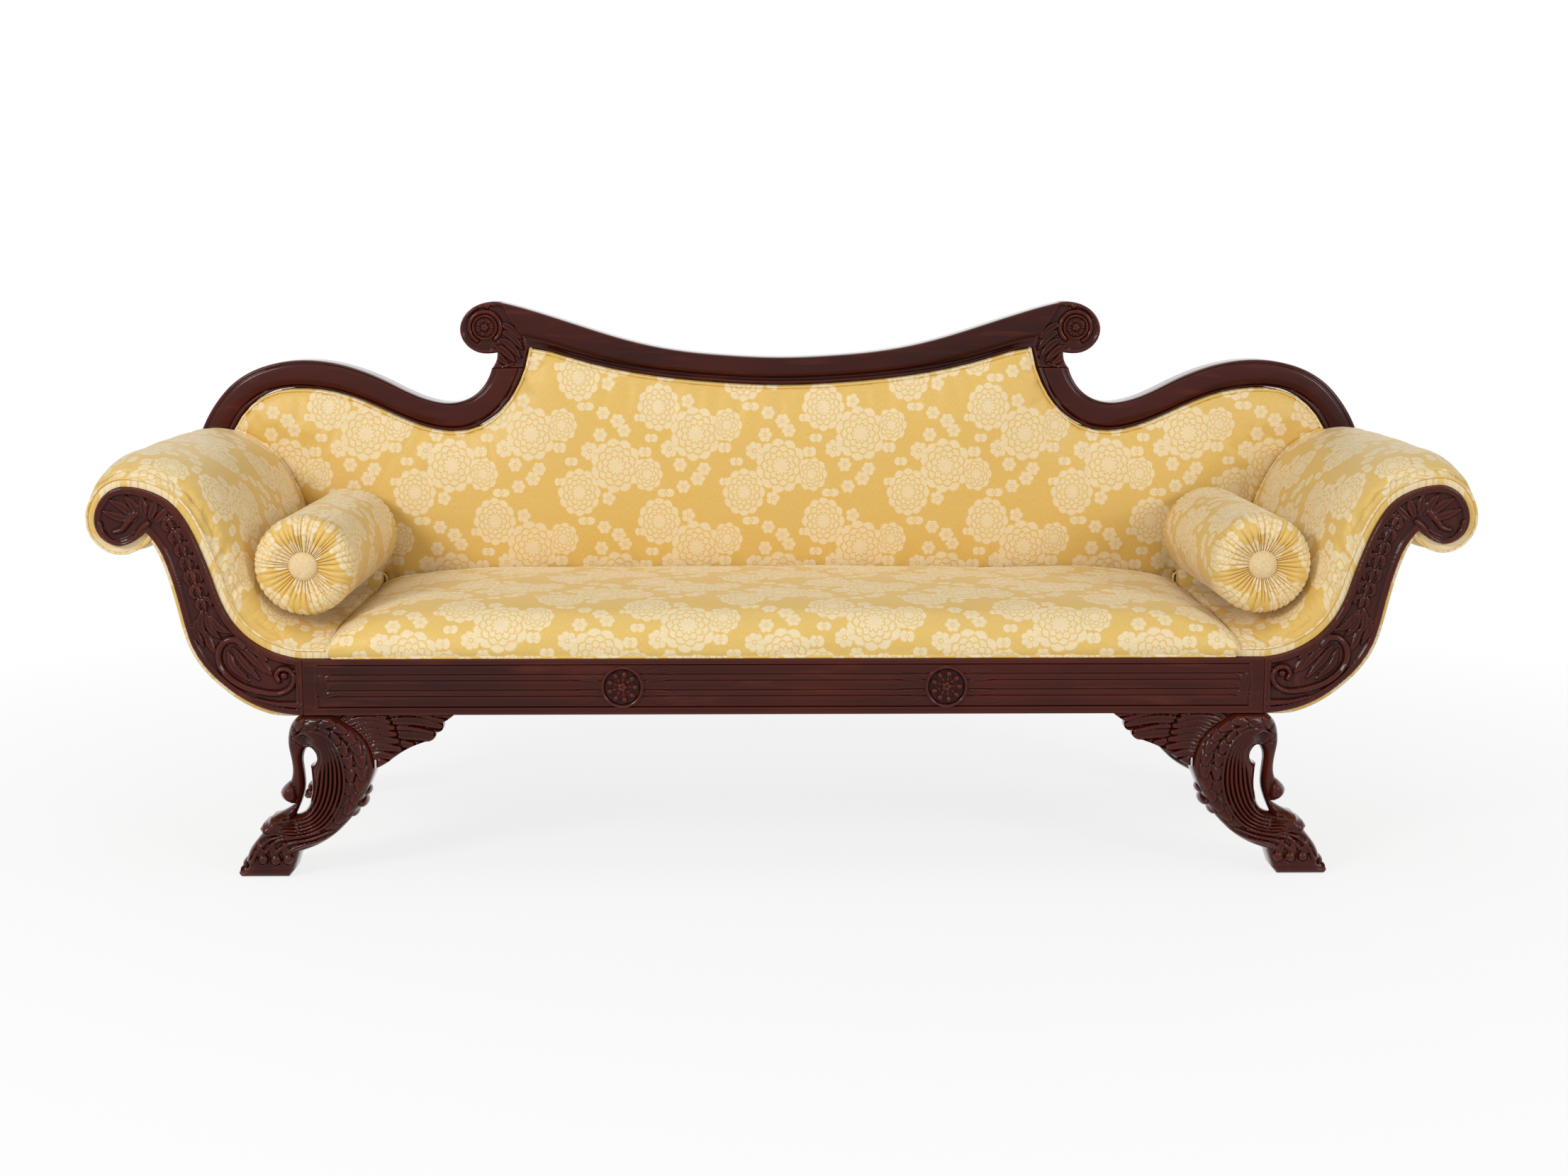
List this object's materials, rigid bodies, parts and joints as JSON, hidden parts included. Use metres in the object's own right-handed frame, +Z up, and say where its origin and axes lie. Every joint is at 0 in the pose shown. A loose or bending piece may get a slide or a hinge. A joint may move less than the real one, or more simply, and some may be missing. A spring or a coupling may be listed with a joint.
{
  "type": "recamier",
  "caption": "Upholstered couch with two outward scrolled arms, a shaped show-wood back, carved bird legs with paw feet, a reeded front rail and loose round bolsters.",
  "frame": {"origin": "on the floor, under the middle of the couch", "axes": "+X to the right along the seat, +Y towards the back, +Z up"},
  "size_m": [2.3076, 0.631, 0.9512],
  "materials": {
    "wood": "dark red-brown mahogany, high gloss polish",
    "frame_wood": "plain beech, sawn",
    "damask": "golden floral damask, satin sheen",
    "webbing": "jute webbing",
    "hessian": "plain hessian",
    "lining": "black dust cloth",
    "steel": "zinc plated"
  },
  "bodies": {
    "frame": {"front_seat_rail": "wood", "rail_rosette_left": "wood", "rail_rosette_right": "wood", "arm_scroll_front_left": "wood", "arm_scroll_front_right": "wood", "crest_rail": "wood", "crest_scroll_left": "wood", "crest_scroll_right": "wood", "crest_rosette_left": "wood", "crest_rosette_right": "wood", "back_side_rail_left": "wood", "back_side_rail_right": "wood", "leg_front_left": "wood", "leg_front_right": "wood", "leg_back_left": "wood", "leg_back_right": "wood", "wing_left": "wood", "wing_right": "wood", "back_seat_rail": "frame_wood", "end_seat_rail_left": "frame_wood", "end_seat_rail_right": "frame_wood", "seat_bearers": "frame_wood", "corner_blocks": "frame_wood", "arm_scroll_back_left": "frame_wood", "arm_scroll_back_right": "frame_wood", "arm_slats_left": "frame_wood", "arm_slats_right": "frame_wood", "back_posts": "frame_wood", "back_tack_rail": "frame_wood", "seat_pad": "damask", "back_pad": "damask", "arm_pad_left": "damask", "arm_pad_right": "damask", "arm_outside_cover_left": "damask", "arm_outside_cover_right": "damask", "outside_back_cover": "damask", "seat_piping": "damask", "arm_piping_left": "damask", "arm_piping_right": "damask", "seat_webbing": "webbing", "back_webbing": "webbing", "seat_hessian": "hessian", "back_hessian": "hessian", "dust_cover": "lining", "leg_bolts": "steel", "leg_plates": "steel"},
    "bolster_left": {"bolster_left": "damask", "bolster_buttons_left": "damask"},
    "bolster_right": {"bolster_right": "damask", "bolster_buttons_right": "damask"}
  },
  "joints": [
    {"name": "bolster_left_lift", "type": "slide", "parent": "frame", "child": "bolster_left", "axis": [0, 0, 1], "range_m": [0, 0.3]},
    {"name": "bolster_right_lift", "type": "slide", "parent": "frame", "child": "bolster_right", "axis": [0, 0, 1], "range_m": [0, 0.3]}
  ]
}
